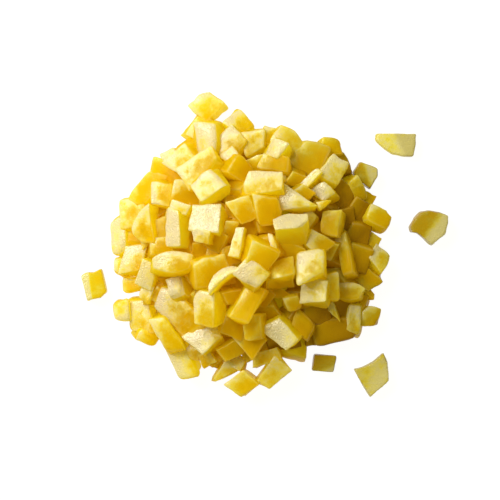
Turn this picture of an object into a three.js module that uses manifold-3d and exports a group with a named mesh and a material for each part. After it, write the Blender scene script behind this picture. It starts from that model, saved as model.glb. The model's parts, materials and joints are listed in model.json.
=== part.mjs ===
// Diced mango: a loose heap of hand-cut dice on a flat surface, with six dice lying apart from it.
// Millimetres, +Z up. The origin is the middle of the heap's flat underside.

import * as THREE from 'three';
import { mergeVertices } from 'three/addons/utils/BufferGeometryUtils.js';
import Module from 'manifold-3d';

const wasm = await Module();
wasm.setup();

// ---- Driving dimensions ----

const DICE = 11; // side of an average die: the spacing of the knife cuts
const KNIFE_ERROR = 0.9; // how far a corner strays from a true cube
const SOFT_EDGE = 0.4; // the edges of a die that lies apart are this far off sharp

const HEAP_RADIUS = 56; // the heap's body, without the dice that stick out of its edge
const HEAP_TOP = 37; // height of the mound's surface at its peak
const EDGE_TOP = 9.5; // height of the single layer of dice at the edge
const PEAK = { x: -2, y: 3 }; // where the mound is highest
const SLOPE_POWER = 1.1; // above 1 the flanks hollow out, below 1 they bulge

const CORE_RADIUS = 49; // the packed inside of the heap
const CORE_DEPTH = 6; // how far the packed inside lies below the tops of the dice
const CORE_RINGS = 5;
const CORE_SECTORS = 24;

const COVER_DICE = 62; // dice that cover the mound inside its edge
const COVER_RADIUS = 46;
const COVER_LENGTH = [0.9, 1.3]; // shortest and longest, as shares of the average die
const COVER_WIDTH = [0.9, 1.2];
const COVER_THICKNESS = [0.9, 1.1];
const GOLDEN_ANGLE = Math.PI * (3 - Math.sqrt(5));
const SLOPE_FOLLOWED = 0.6; // share of the mound's slope that a die on it takes up
const TUMBLE = 0.32; // random tilt of a die on the mound, radians either way
const FLOOR_TUMBLE = 0.1; // the same for a die of the edge, which leans on its neighbours

const BELOW_FLOOR = 2; // solids start this far under the surface, then all are trimmed flat at it
const MERGE_DISTANCE = 1e-4;

const FLESH = { color: 0xf2c63c, roughness: 0.42, metalness: 0 };

// ---- Dice at the heap's edge: [x, y, length, width, turn in degrees, thickness] ----
// The thickness is left out where it is the average die's.

const EDGE_DICE = {
  north: [
    [-19, 63, 13, 11, -35],
    [-22, 53, 13, 12, 42],
    [-4.5, 56.5, 14, 11, -28],
    [-17, 47, 10, 14, 10],
    [4, 48, 10, 14, 12],
    [15, 49, 14, 8, -42],
    [-29, 42, 15, 12, 35],
    [11, 40, 11, 12, -20],
  ],
  east: [
    [35, 44.5, 14, 8, -25],
    [25, 38, 19, 15, -15],
    [34.5, 34, 9, 15, -35, 13],
    [41.5, 22.5, 14, 12, -25, 14],
    [52, 20, 9, 9, 30],
    [54, 11, 12, 15, -25],
    [55, -3, 10, 9, -30],
    [52, -11, 11, 11, 30],
    [43, -17, 15, 9, -8],
  ],
  south: [
    [48, -25, 9, 11, 30],
    [53, -29, 8, 8, 10, 8],
    [38, -36, 17, 14, 15, 13],
    [26, -39, 10, 9, -10],
    [17, -42, 12, 11, 25],
    [7, -45, 13, 9, 25],
    [10.5, -54.5, 11, 15, -40],
    [-4.5, -57.5, 10, 12, -45],
    [-3.5, -47, 13, 10, 20],
    [-13, -52, 12, 8, 25, 8],
    [-19, -41, 16, 13, 30],
  ],
  west: [
    [-34, -45, 27, 9, -56],
    [-46, -38, 11, 9, -25],
    [-49, -28.5, 10, 16, 3],
    [-57, -26.5, 7.5, 10, 5, 8],
    [-47, -18, 10, 9, -30],
    [-51.5, -15, 10, 8, 5],
    [-56, -8, 8, 11, 25, 9],
    [-51, -5, 11, 12, -15, 13],
    [-57.5, 6, 11, 16, 8],
    [-51.5, 18, 12, 14, 20],
    [-44, 29, 14, 14, 25, 13],
  ],
};

// ---- Dice that lie apart: each outline is drawn about the die's own place ----
// The lean is how far the top of a die stands off its foot, along X and Y.

const STRAY_DICE = [
  {
    name: 'stray_west',
    place: [-69, -15],
    height: 9,
    lean: [0.6, 0],
    outline: new THREE.Shape()
      .moveTo(-5.5, 3.5)
      .lineTo(3.2, 6.7)
      .lineTo(5.9, -3.3)
      .lineTo(3, -6.2)
      .lineTo(-3, -7.4),
  },
  {
    name: 'stray_half_moon',
    place: [64, 46.5],
    height: 8,
    lean: [0.2, -0.3],
    outline: new THREE.Shape()
      .moveTo(-9, 2.2)
      .lineTo(-8.2, 4.8)
      .lineTo(9.4, 4.8)
      .lineTo(8, -5.2)
      .lineTo(4, -5.2)
      .quadraticCurveTo(-2.5, -5, -9, 2.2),
  },
  {
    name: 'stray_north_east',
    place: [50.5, 33],
    height: 9,
    lean: [0.3, 0.4],
    outline: new THREE.Shape()
      .moveTo(-5.4, 1)
      .lineTo(-2.1, 5.8)
      .lineTo(4.8, 2.8)
      .quadraticCurveTo(5.8, -1, 4, -3.2)
      .lineTo(1.5, -6.3)
      .lineTo(-3.6, -1.8),
  },
  {
    name: 'stray_east',
    place: [79, 10],
    height: 10,
    lean: [0.5, 0.2],
    outline: new THREE.Shape()
      .moveTo(-6, -1.4)
      .lineTo(-8, -1.2)
      .quadraticCurveTo(-9.5, 4.5, -3.5, 7.2)
      .lineTo(1, 7.7)
      .lineTo(8.8, 5.4)
      .lineTo(7.6, -3.3)
      .lineTo(1, -8.2),
  },
  {
    name: 'stray_south',
    place: [32.5, -50],
    height: 8,
    lean: [0.2, 0.2],
    outline: new THREE.Shape()
      .moveTo(-5.5, -3.2)
      .lineTo(-3.8, 4)
      .lineTo(5.3, 3.2)
      .lineTo(4.2, -3.7),
  },
  {
    name: 'stray_south_east',
    place: [54.5, -55],
    height: 8,
    lean: [0.3, 0.5],
    outline: new THREE.Shape()
      .moveTo(-8.7, 2.4)
      .quadraticCurveTo(-2, 3.4, 5.1, 9.8)
      .quadraticCurveTo(7.8, 4, 7.3, -2.4)
      .lineTo(-0.9, -10)
      .lineTo(-4.5, -5.5),
  },
];

// ---- Helpers ----

/** A repeatable run of numbers from 0 to 1, so that the heap always comes out the same. */
function seededRandom(seed) {
  let state = seed;
  return () => {
    state = (state * 1664525 + 1013904223) % 4294967296;
    return state / 4294967296;
  };
}

const random = seededRandom(41);

function between([low, high]) {
  return low + (high - low) * random();
}

/** A number between -1 and 1. */
function eitherWay() {
  return between([-1, 1]);
}

function withSharedVertices(geometry) {
  const bare = geometry.clone();
  bare.deleteAttribute('normal');
  bare.deleteAttribute('uv');
  return mergeVertices(bare, MERGE_DISTANCE);
}

function solidFrom(geometry) {
  const shared = withSharedVertices(geometry);
  return new wasm.Manifold(new wasm.Mesh({
    numProp: 3,
    vertProperties: new Float32Array(shared.attributes.position.array),
    triVerts: new Uint32Array(shared.index.array),
  }));
}

function geometryFrom(solid) {
  const { vertProperties, triVerts } = solid.getMesh();
  const geometry = new THREE.BufferGeometry();
  geometry.setAttribute('position', new THREE.BufferAttribute(vertProperties, 3));
  geometry.setIndex(new THREE.BufferAttribute(triVerts, 1));
  geometry.computeVertexNormals();
  return geometry;
}

/** The outer skin alone, so that a gap shut in between dice is filled. */
function withoutHollows(solid) {
  const skins = solid.decompose();
  return skins.reduce((outer, skin) => (skin.volume() > outer.volume() ? skin : outer));
}

function mesh(name, geometry) {
  const piece = new THREE.Mesh(geometry, new THREE.MeshStandardMaterial(FLESH));
  piece.name = name;
  return piece;
}

// ---- The mound: how high the dice reach over each spot of the floor ----

function moundTop(x, y) {
  const reach = Math.min(Math.hypot(x - PEAK.x, y - PEAK.y) / HEAP_RADIUS, 1);
  return EDGE_TOP + (HEAP_TOP - EDGE_TOP) * (1 - reach ** 2) ** SLOPE_POWER;
}

function moundNormal(x, y) {
  const step = 1;
  const slopeX = (moundTop(x + step, y) - moundTop(x - step, y)) / (2 * step);
  const slopeY = (moundTop(x, y + step) - moundTop(x, y - step)) / (2 * step);
  return new THREE.Vector3(-slopeX * SLOPE_FOLLOWED, -slopeY * SLOPE_FOLLOWED, 1).normalize();
}

/** The packed inside of the heap: rings of points under the mound's surface, closed by a flat disc. */
function coreGeometry() {
  const points = [[0, 0, moundTop(0, 0) - CORE_DEPTH]];
  const ringStart = (ring) => 1 + (ring - 1) * CORE_SECTORS;
  for (let ring = 1; ring <= CORE_RINGS + 1; ring++) {
    const atFloor = ring > CORE_RINGS;
    const radius = CORE_RADIUS * Math.min(ring / CORE_RINGS, 1);
    for (let sector = 0; sector < CORE_SECTORS; sector++) {
      const angle = (2 * Math.PI * sector) / CORE_SECTORS;
      const x = radius * Math.cos(angle);
      const y = radius * Math.sin(angle);
      points.push([x, y, atFloor ? -BELOW_FLOOR : moundTop(x, y) - CORE_DEPTH]);
    }
  }
  const underside = points.push([0, 0, -BELOW_FLOOR]) - 1;

  const faces = [];
  for (let sector = 0; sector < CORE_SECTORS; sector++) {
    const next = (sector + 1) % CORE_SECTORS;
    faces.push(0, 1 + sector, 1 + next);
    for (let ring = 1; ring <= CORE_RINGS; ring++) {
      const inner = ringStart(ring);
      const outer = ringStart(ring + 1);
      faces.push(inner + sector, outer + sector, outer + next);
      faces.push(inner + sector, outer + next, inner + next);
    }
    const last = ringStart(CORE_RINGS + 1);
    faces.push(underside, last + next, last + sector);
  }

  const geometry = new THREE.BufferGeometry();
  geometry.setAttribute('position', new THREE.Float32BufferAttribute(points.flat(), 3));
  geometry.setIndex(faces);
  return geometry;
}

// ---- Dice ----

/** A box as a knife cuts it: each corner is a little off, so that no two sides are parallel. */
function diceGeometry(length, width, thickness) {
  const geometry = withSharedVertices(new THREE.BoxGeometry(length, width, thickness));
  const corners = geometry.attributes.position;
  for (let i = 0; i < corners.count; i++) {
    corners.setXYZ(
      i,
      corners.getX(i) + KNIFE_ERROR * eitherWay(),
      corners.getY(i) + KNIFE_ERROR * eitherWay(),
      corners.getZ(i) + KNIFE_ERROR * 0.5 * eitherWay(),
    );
  }
  return geometry;
}

/** A die of the heap's edge. On the floor it lies flat, and on the mound it leans with the slope. */
function edgeDie([x, y, length, width, turn, thickness = DICE]) {
  const level = moundTop(x, y) - thickness;
  const onFloor = level < thickness / 2;
  const depth = onFloor ? thickness + BELOW_FLOOR : thickness;
  const geometry = diceGeometry(length, width, depth);
  geometry.rotateX(FLOOR_TUMBLE * eitherWay());
  geometry.rotateY(FLOOR_TUMBLE * eitherWay());
  geometry.rotateZ(THREE.MathUtils.degToRad(turn));
  if (!onFloor) {
    const lean = new THREE.Quaternion().setFromUnitVectors(new THREE.Vector3(0, 0, 1), moundNormal(x, y));
    geometry.applyQuaternion(lean);
  }
  geometry.translate(x, y, onFloor ? (thickness - BELOW_FLOOR) / 2 : level + thickness / 2);
  return geometry;
}

/** A die on the mound, at a place on a spiral that spaces the dice evenly but in no rows. */
function coverDie(index) {
  const radius = COVER_RADIUS * Math.sqrt((index + 0.5) / COVER_DICE);
  const angle = index * GOLDEN_ANGLE;
  const x = PEAK.x + radius * Math.cos(angle);
  const y = PEAK.y + radius * Math.sin(angle);
  const length = DICE * between(COVER_LENGTH);
  const width = DICE * between(COVER_WIDTH);
  const thickness = DICE * between(COVER_THICKNESS);
  const turn = new THREE.Euler(TUMBLE * eitherWay(), TUMBLE * eitherWay(), Math.PI * random());
  const lean = new THREE.Quaternion().setFromUnitVectors(new THREE.Vector3(0, 0, 1), moundNormal(x, y));
  const geometry = diceGeometry(length, width, thickness);
  geometry.applyQuaternion(lean.multiply(new THREE.Quaternion().setFromEuler(turn)));
  geometry.translate(x, y, moundTop(x, y) - thickness / 2 + eitherWay());
  return geometry;
}

/** The whole heap as one solid: the packed inside, the dice that show, and a trim at the floor. */
function heap() {
  let solid = solidFrom(coreGeometry());
  for (const edge of Object.values(EDGE_DICE)) {
    for (const row of edge) {
      solid = solid.add(solidFrom(edgeDie(row)));
    }
  }
  for (let index = 0; index < COVER_DICE; index++) {
    solid = solid.add(solidFrom(coverDie(index)));
  }
  const room = 4 * HEAP_RADIUS;
  const aboveFloor = new THREE.BoxGeometry(room, room, room);
  aboveFloor.translate(0, 0, room / 2);
  solid = withoutHollows(solid.intersect(solidFrom(aboveFloor)));
  return mesh('mango_heap', geometryFrom(solid));
}

/** A die that lies apart: its outline raised to its height, with the sides leaning a little. */
function strayDie({ name, place, height, lean, outline }) {
  const geometry = withSharedVertices(new THREE.ExtrudeGeometry(outline, {
    depth: height - 2 * SOFT_EDGE,
    bevelEnabled: true,
    bevelThickness: SOFT_EDGE,
    bevelSize: SOFT_EDGE,
    bevelOffset: -SOFT_EDGE,
    bevelSegments: 1,
    curveSegments: 5,
  }));
  geometry.translate(0, 0, SOFT_EDGE);
  const corners = geometry.attributes.position;
  for (let i = 0; i < corners.count; i++) {
    const raised = corners.getZ(i) / height;
    corners.setX(i, corners.getX(i) + lean[0] * raised);
    corners.setY(i, corners.getY(i) + lean[1] * raised);
  }
  const piece = mesh(name, geometry);
  piece.position.set(place[0], place[1], 0);
  return piece;
}

const dicedMango = new THREE.Group();
dicedMango.add(heap());
for (const stray of STRAY_DICE) {
  dicedMango.add(strayDie(stray));
}

export default dicedMango;
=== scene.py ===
# %% [markdown]
# # Diced mango
# A ripe mango, peeled and cut by hand into dice of about 11 mm, tipped out in a loose heap, with
# six dice lying apart from it. The packed model is the frame: its one solid for the heap says how
# wide and how high the real dice may pile up, and its six small solids say where the strays lie.

# %% Load the packed model
import json
import math

import bpy
import numpy as np
from mathutils import Euler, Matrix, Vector

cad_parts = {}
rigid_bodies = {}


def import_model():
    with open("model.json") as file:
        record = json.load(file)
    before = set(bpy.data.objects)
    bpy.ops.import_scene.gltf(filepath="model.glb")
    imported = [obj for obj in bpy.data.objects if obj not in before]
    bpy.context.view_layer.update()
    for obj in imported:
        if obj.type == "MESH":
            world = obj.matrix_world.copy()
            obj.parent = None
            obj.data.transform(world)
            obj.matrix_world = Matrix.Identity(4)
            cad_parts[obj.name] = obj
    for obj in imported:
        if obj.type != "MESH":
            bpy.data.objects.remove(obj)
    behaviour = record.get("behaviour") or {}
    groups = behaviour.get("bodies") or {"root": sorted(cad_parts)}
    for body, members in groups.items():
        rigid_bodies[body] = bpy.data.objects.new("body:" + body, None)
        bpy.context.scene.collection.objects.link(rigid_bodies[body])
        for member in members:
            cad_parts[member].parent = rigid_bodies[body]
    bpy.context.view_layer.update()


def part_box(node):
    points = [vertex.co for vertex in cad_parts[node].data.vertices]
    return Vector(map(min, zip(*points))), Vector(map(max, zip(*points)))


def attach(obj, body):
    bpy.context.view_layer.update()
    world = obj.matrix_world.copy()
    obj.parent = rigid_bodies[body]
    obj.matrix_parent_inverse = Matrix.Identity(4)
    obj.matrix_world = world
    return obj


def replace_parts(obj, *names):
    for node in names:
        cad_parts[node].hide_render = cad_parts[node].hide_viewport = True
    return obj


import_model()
heap_low, heap_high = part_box("mango_heap")

MM = 0.001
DICE = 11.0  # side of an average die, in millimetres, as every size below
HEAP_TOP = heap_high.z / MM
rng = np.random.default_rng(20)
print("heap", [round(v / MM) for v in heap_high - heap_low], "mm")

# %% [markdown]
# ## Camera
# The heap is seen from straight above. A camera without perspective would show no side of any die;
# a long lens far away shows just a little of the sides at the edge of the heap.

# %% Camera
VIEW_WIDTH = 0.220  # of the board that the camera sees, in metres
CAMERA_HEIGHT = 1.2
FOCUS_HEIGHT = 0.006  # half way up a die that lies on the board, where that width is measured

camera = bpy.data.objects.new("camera", bpy.data.cameras.new("camera"))
camera.location = (0, 0, CAMERA_HEIGHT)
camera.data.lens = camera.data.sensor_width * (CAMERA_HEIGHT - FOCUS_HEIGHT) / VIEW_WIDTH
bpy.context.scene.collection.objects.link(camera)
bpy.context.scene.camera = camera
print("lens", round(camera.data.lens), "mm")

# %% [markdown]
# ## Floor and light
# The light is one broad lamp half way up in the upper left, so that the faces turned to it go
# nearly white and the far side of the heap sinks into amber. The sky is a weak warm yellow, like
# light that has been through other dice first. The white board could be lit by a second lamp, but
# that would fill the shadows of the heap too, so it glows a little instead.

# %% Floor
FLOOR_SIDE = 4.0
BOARD_COLOUR = (0.12, 0.12, 0.12, 1)
BOARD_ROUGHNESS = 0.9
BOARD_GLOW = 0.95


def new_material(name):
    material = bpy.data.materials.new(name)
    material.use_nodes = True
    return material, material.node_tree.nodes["Principled BSDF"]


half = FLOOR_SIDE / 2
floor_corners = [(-half, -half, 0), (half, -half, 0), (half, half, 0), (-half, half, 0)]
floor_mesh = bpy.data.meshes.new("floor")
floor_mesh.from_pydata(floor_corners, [], [(0, 1, 2, 3)])
floor = bpy.data.objects.new("floor", floor_mesh)
bpy.context.scene.collection.objects.link(floor)
floor_material, floor_shader = new_material("white_board")
floor_shader.inputs["Base Color"].default_value = BOARD_COLOUR
floor_shader.inputs["Roughness"].default_value = BOARD_ROUGHNESS
floor_shader.inputs["Emission Color"].default_value = (1, 1, 1, 1)
floor_shader.inputs["Emission Strength"].default_value = BOARD_GLOW
floor_mesh.materials.append(floor_material)
print("board", FLOOR_SIDE, "m wide")

# %% Lamp
LAMP_AZIMUTH = 138  # degrees from +X towards +Y
LAMP_ELEVATION = 48
LAMP_DISTANCE = 0.7  # metres
LAMP_SIDE = 0.45
LAMP_POWER = 5.9  # watts


def towards(azimuth, elevation):
    """A unit vector, from two angles in degrees."""
    a, e = math.radians(azimuth), math.radians(elevation)
    return Vector((math.cos(a) * math.cos(e), math.sin(a) * math.cos(e), math.sin(e)))


lamp = bpy.data.objects.new("lamp", bpy.data.lights.new("lamp", "AREA"))
lamp.data.size = LAMP_SIDE
lamp.data.energy = LAMP_POWER
lamp.location = LAMP_DISTANCE * towards(LAMP_AZIMUTH, LAMP_ELEVATION)
lamp.rotation_euler = lamp.location.to_track_quat("Z", "Y").to_euler()
bpy.context.scene.collection.objects.link(lamp)
print("lamp at", [round(v, 2) for v in lamp.location], "m")

# %% Sky
SKY = 0.47
SKY_COLOUR = (1.0, 0.88, 0.25, 1)

world = bpy.data.worlds.new("pale_room")
world.use_nodes = True
world.node_tree.nodes["Background"].inputs["Color"].default_value = SKY_COLOUR
world.node_tree.nodes["Background"].inputs["Strength"].default_value = SKY
bpy.context.scene.world = world
bpy.context.scene.view_settings.view_transform = "Standard"
print("sky", SKY_COLOUR[:3], "at", SKY)

# %% [markdown]
# ## Shader maths
# A material could be wired node by node, but its formula would be lost in the wiring. Here it is
# written as expressions. A `Field` is one output of a shader node, a number or a vector or a
# colour that varies over the surface, and adding or multiplying fields adds the nodes.

# %% Fields
class Field:
    """One output socket of a node tree, with arithmetic that adds Math or Vector Math nodes."""

    def __init__(self, paint, socket):
        self.paint = paint
        self.socket = socket

    def combine(self, operation, first, second):
        is_number = self.socket.type == "VALUE"
        kind = "ShaderNodeMath" if is_number else "ShaderNodeVectorMath"
        return self.paint.node(kind, {"operation": operation}, [first, second])

    def __add__(self, other):
        return self.combine("ADD", self, other)

    __radd__ = __add__

    def __sub__(self, other):
        return self.combine("SUBTRACT", self, other)

    def __rsub__(self, other):
        return self.combine("SUBTRACT", other, self)

    def __mul__(self, other):
        return self.combine("MULTIPLY", self, other)

    __rmul__ = __mul__


# %% The paint box
class Paint:
    """The node tree of one new material."""

    def __init__(self, name):
        self.material, self.shader = new_material(name)
        self.tree = self.material.node_tree

    def feed(self, socket, value):
        if isinstance(value, Field):
            self.tree.links.new(value.socket, socket)
        else:
            socket.default_value = value

    def node(self, kind, settings, values, output=0):
        """Any node: its type, its settings, then its sockets' values by name or in order."""
        made = self.tree.nodes.new(kind)
        for key, setting in settings.items():
            setattr(made, key, setting)
        named = values.items() if isinstance(values, dict) else enumerate(values)
        for key, value in named:
            self.feed(made.inputs[key], value)
        return Field(self, made.outputs[output])

    def attribute(self, name, output):
        settings = {"attribute_name": name, "attribute_type": "GEOMETRY"}
        return self.node("ShaderNodeAttribute", settings, [], output)

    def noise(self, place, scale, detail):
        values = {"Vector": place, "Scale": scale, "Detail": detail}
        return self.node("ShaderNodeTexNoise", {"noise_dimensions": "3D"}, values)

    def between(self, value, low, high):
        """0 where value is below low, 1 where it is above high, smooth in between."""
        values = {"Value": value, "From Min": low, "From Max": high}
        return self.node("ShaderNodeMapRange", {"interpolation_type": "SMOOTHSTEP"}, values)

    def blend(self, share, first, second):
        """A colour, from first where share is 0 to second where it is 1."""
        settings = {"data_type": "RGBA", "clamp_factor": True}
        values = {0: share, 6: first, 7: second}
        return self.node("ShaderNodeMix", settings, values, output=2)

    def bump(self, height, depth, under=None):
        values = {"Height": height, "Distance": depth}
        if under is not None:
            values["Normal"] = under
        return self.node("ShaderNodeBump", {}, values)


print("paint box:", [name for name in vars(Paint) if not name.startswith("_")])

# %% [markdown]
# ## Mango flesh
# Cut mango is wet and lets light in: a face turned to the lamp is pale cream, and light that has
# gone through the flesh comes out deep gold. Subsurface scattering could do this, but it leaves
# dark seams where dice touch. So the flesh is an ordinary surface mixed with a translucent one,
# lemon in pale flesh and gold in ripe flesh.
#
# No two dice are alike, so what the flesh is like comes with the meshes, as labels on their
# points, and clouds, blotches, fibres and grain vary it within a die.

# %% What each point tells the material
LABELS = (
    "ripeness",  # 0 in pale flesh, 1 in gold flesh, more near the stone
    # The end faces are paler partly for their torn cells and partly as painted light: the upper one is
    # painted pale as a lit face, the sides gold as shaded ones.
    "end_face",  # 1 on the two faces where the knife cut across the fibres
    "rim",  # 1 near the edges of a die, where a painted highlight runs along the edge
    "peel_side",  # 1 where the peel was near
    "dusk",  # 0 in full light, more where little light gets to
    "heart",  # 1 in the middle of a face
)


def read_labels(paint):
    """A field for each label, and one for the place of a point in its own die."""
    told = {label: paint.attribute(label, "Fac") for label in LABELS}
    told["place"] = paint.attribute("flesh_place", "Vector")
    return told


print("labels:", LABELS)

# %% Textures
CLOUD_SCALE = 0.16  # features in each millimetre, as the other scales
BLOTCH_SCALE = 0.33
FIBRE_SCALE = 0.9
GRAIN_SCALE = 2.0
CELL_SCALE = 1.2
FIBRE_STRETCH = (0.14, 1.0, 1.0)  # fibres are long in the first direction of the place
WALL_STARTS, WALL_IS_FULL = 0.25, 0.62  # distances from the middle of a torn cell


def textures(paint, place):
    """Clouds, blotches, fibres and grain, and the walls of torn cells, each from 0 to 1."""
    cell_values = {"Vector": place, "Scale": CELL_SCALE}
    from_middle = paint.node("ShaderNodeTexVoronoi", {"feature": "F1"}, cell_values)
    return {
        "cloud": paint.noise(place, CLOUD_SCALE, 2.0),
        "blotch": paint.noise(place, BLOTCH_SCALE, 2.0),
        "fibre": paint.noise(place * FIBRE_STRETCH, FIBRE_SCALE, 3.0),
        "grain": paint.noise(place, GRAIN_SCALE, 2.0),
        "walls": paint.between(from_middle, WALL_STARTS, WALL_IS_FULL),
    }


# %% Ripeness over a die
RIPENESS_VARIES = {"cloud": 1.0, "blotch": 0.9, "fibre": 0.5, "grain": 0.5}
HEART_IS_RIPER = 0.5
RIPENESS_SHIFT = -0.22  # makes up for the textures and the heart, which add more than they take


def ripeness_over(told, made):
    ripe = told["ripeness"]
    for name, strength in RIPENESS_VARIES.items():
        ripe = ripe + (made[name] - 0.5) * strength
    return ripe + told["heart"] * HEART_IS_RIPER + RIPENESS_SHIFT


# %% [markdown]
# ## Colours of the flesh
# One colour and a noise would give dice of painted wood. Real flesh goes through several colours
# as it ripens, so each blend below has the ripeness at which it starts and at which it is
# complete. The end faces have their own, paler scale, partly because the torn cells there stand up
# and scatter the light, and partly as painted light: the upper one is painted pale as a lit face
# is, and the sides gold as shaded ones are. Dusk is the deeper, greener tone of dice that little
# light gets to, a painted shade, and the pale rim along the edges is a painted highlight.

# %% Colour
CREAM = (0.9, 0.85, 0.4, 1)
LEMON = (0.95, 0.86, 0.14, 1)
GOLD = (0.945, 0.8, 0.014, 1)
DEEP_GOLD = (0.93, 0.64, 0.004, 1)
AMBER = (0.88, 0.54, 0.002, 1)
OLIVE = (0.78, 0.655, 0.04, 1)
WHITE_CREAM = (0.765, 0.73, 0.64, 1)
PEEL_SIDE = (0.88, 0.83, 0.16, 1)
DUSKY = (0.38, 0.32, 0.2)  # what is left of each colour where it is fully dusky
PEEL_SHARE = 0.4
RIM_HIGHLIGHT_SHARE = 0.35
TORN_SHARE = 0.78
WALL_SHARE = 0.08  # how much of that is missing on the walls of the cells
GOLD_DEEPENS = (-0.4, 0.7)
GOLD_TO_AMBER = (0.8, 1.7)
OLIVE_WITH_DUSK = (0.0, 0.25)  # dusk, not ripeness
OLIVE_FADES = (0.4, 1.3)
CREAM_TO_LEMON = (0.0, 0.55)
LEMON_TO_GOLD = (0.4, 0.9)


def flesh_colour(paint, told, made, ripe, lit_torn_cells):
    gold = paint.blend(paint.between(ripe, *GOLD_DEEPENS), GOLD, DEEP_GOLD)
    gold = paint.blend(paint.between(ripe, *GOLD_TO_AMBER), gold, AMBER)
    greener = paint.between(told["dusk"], *OLIVE_WITH_DUSK) * (1 - paint.between(ripe, *OLIVE_FADES))
    gold = paint.blend(greener, gold, OLIVE)
    pale = paint.blend(paint.between(ripe, *CREAM_TO_LEMON), CREAM, LEMON)
    pale = paint.blend(paint.between(ripe, *LEMON_TO_GOLD), pale, gold)
    # Partly painted light and shade: the end faces take the pale scale as lit faces, the sides the gold
    # scale as shaded ones.
    colour = paint.blend(told["end_face"], gold, pale)
    colour = paint.blend(told["peel_side"] * PEEL_SHARE, colour, PEEL_SIDE)
    # Partly a painted highlight: the white cream of torn cells lies only on the end faces and fades out
    # with the painted shade.
    colour = paint.blend(lit_torn_cells * (TORN_SHARE - made["walls"] * WALL_SHARE), colour, WHITE_CREAM)
    colour = paint.blend(told["dusk"], colour, colour * DUSKY)
    # Painted highlight: a pale cream line along the edges.
    return paint.blend(told["rim"] * (1 - told["dusk"]) * RIM_HIGHLIGHT_SHARE, colour, CREAM)


# %% [markdown]
# ## Wet, torn and translucent
# The torn cells glitter, which a trace of metal imitates: it mirrors the lamp wherever the bump
# happens to face it. The juice could be a mesh of its own, but a thin coat that comes and goes
# looks the same. For the light from inside, two translucent surfaces are mixed by ripeness.

# %% Light through the flesh
THROUGH_PALE = (1.0, 0.92, 0.12, 1)
THROUGH_RIPE = (1.0, 0.86, 0.027, 1)
THROUGH_RIPENS = (0.1, 1.0)
TRANSLUCENCY = 0.74
PALE_IS_DENSER = 0.3
PALENESS_FADES = (0.1, 0.7)
DUSK_IS_DENSER = 0.85


def light_through(paint, told, ripe, relief):
    """The ordinary surface mixed with the translucent one."""
    surface = Field(paint, paint.shader.outputs[0])
    lemon, gold = [
        paint.node("ShaderNodeBsdfTranslucent", {}, {"Color": colour, "Normal": relief})
        for colour in (THROUGH_PALE, THROUGH_RIPE)
    ]
    through = paint.node("ShaderNodeMixShader", {}, [paint.between(ripe, *THROUGH_RIPENS), lemon, gold])
    paleness = told["end_face"] * (1 - paint.between(ripe, *PALENESS_FADES))
    share = (TRANSLUCENCY - paleness * PALE_IS_DENSER) * (1 - told["dusk"] * DUSK_IS_DENSER)
    return paint.node("ShaderNodeMixShader", {}, [share, surface, through])


# %% Flesh material
FIBRE_DEPTH = 0.00008  # metres, as the depth of the grain
GRAIN_DEPTH = 0.00013
TORN_FADES = (-0.4, 0.55)
GLITTER = 0.1
COAT_PATCHES = (0.35, 0.55)
COAT_DRIES = (0.3, 0.9)


def mango_flesh():
    paint = Paint("mango_flesh")
    told = read_labels(paint)
    made = textures(paint, told["place"])
    ripe = ripeness_over(told, made)
    # Torn cells, partly painted highlight: only on end faces, and gone where the painted shade is.
    lit_torn_cells = told["end_face"] * (1 - paint.between(ripe, *TORN_FADES)) * (1 - told["dusk"])
    relief = paint.bump(made["fibre"], FIBRE_DEPTH)
    relief = paint.bump(made["grain"] * 0.5 - made["walls"] * (lit_torn_cells * 0.9 + 0.1), GRAIN_DEPTH, relief)
    patches = paint.between(made["cloud"], *COAT_PATCHES) * (told["end_face"] * 0.6 + 0.15)

    shader = paint.shader.inputs
    paint.feed(shader["Base Color"], flesh_colour(paint, told, made, ripe, lit_torn_cells))
    paint.feed(shader["Roughness"], 0.2 + made["grain"] * 0.2 - lit_torn_cells * 0.1)
    paint.feed(shader["Metallic"], lit_torn_cells * GLITTER)
    paint.feed(shader["Coat Weight"], patches * (1 - paint.between(ripe, *COAT_DRIES) * 0.8))
    paint.feed(shader["Normal"], relief)
    shader["IOR"].default_value = 1.38
    shader["Specular IOR Level"].default_value = 0.2
    shader["Coat Roughness"].default_value = 0.07
    shader["Coat IOR"].default_value = 1.35
    flesh_surface = light_through(paint, told, ripe, relief)
    paint.tree.links.new(flesh_surface.socket, paint.tree.nodes["Material Output"].inputs["Surface"])
    return paint.material


flesh = mango_flesh()
print("flesh nodes", len(flesh.node_tree.nodes))

# %% [markdown]
# ## How a die is cut
# A cube with a Bevel modifier would make dice that are all alike. Here a die starts as a cube from
# -1 to 1 whose faces carry a grid, fine at the edges, and formulas move its points: rounding pulls
# the grid in at the edges, a knife that is never square moves the eight corners, and the shape's
# own habit bends a side, as the cheek of the fruit is round where its peel was.

# %% The grid on a cube
FINE_LINES = (-1, -0.95, -0.84, -0.62, -0.32, 0, 0.32, 0.62, 0.84, 0.95, 1)
COARSE_LINES = (-1, 0, 1)


def cube_grid(lines):
    """The points and the four-cornered faces of a cube whose sides are divided at these lines."""
    points, faces, found = [], [], {}

    def number(point):
        if point not in found:
            found[point] = len(points)
            points.append(point)
        return found[point]

    for axis in range(3):
        for side in (-1, 1):
            for u0, u1 in zip(lines, lines[1:]):
                for v0, v1 in zip(lines, lines[1:]):
                    ring = [(u0, v0), (u1, v0), (u1, v1), (u0, v1)]
                    corners = [tuple(np.roll((side, u, v), axis)) for u, v in ring]
                    face = [number(corner) for corner in corners]
                    faces.append(face if side > 0 else face[::-1])
    return np.array(points, float), np.array(faces)


FINE = cube_grid(FINE_LINES)
COARSE = cube_grid(COARSE_LINES)
print("grid of a die:", len(FINE[0]), "points,", len(FINE[1]), "faces")

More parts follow.
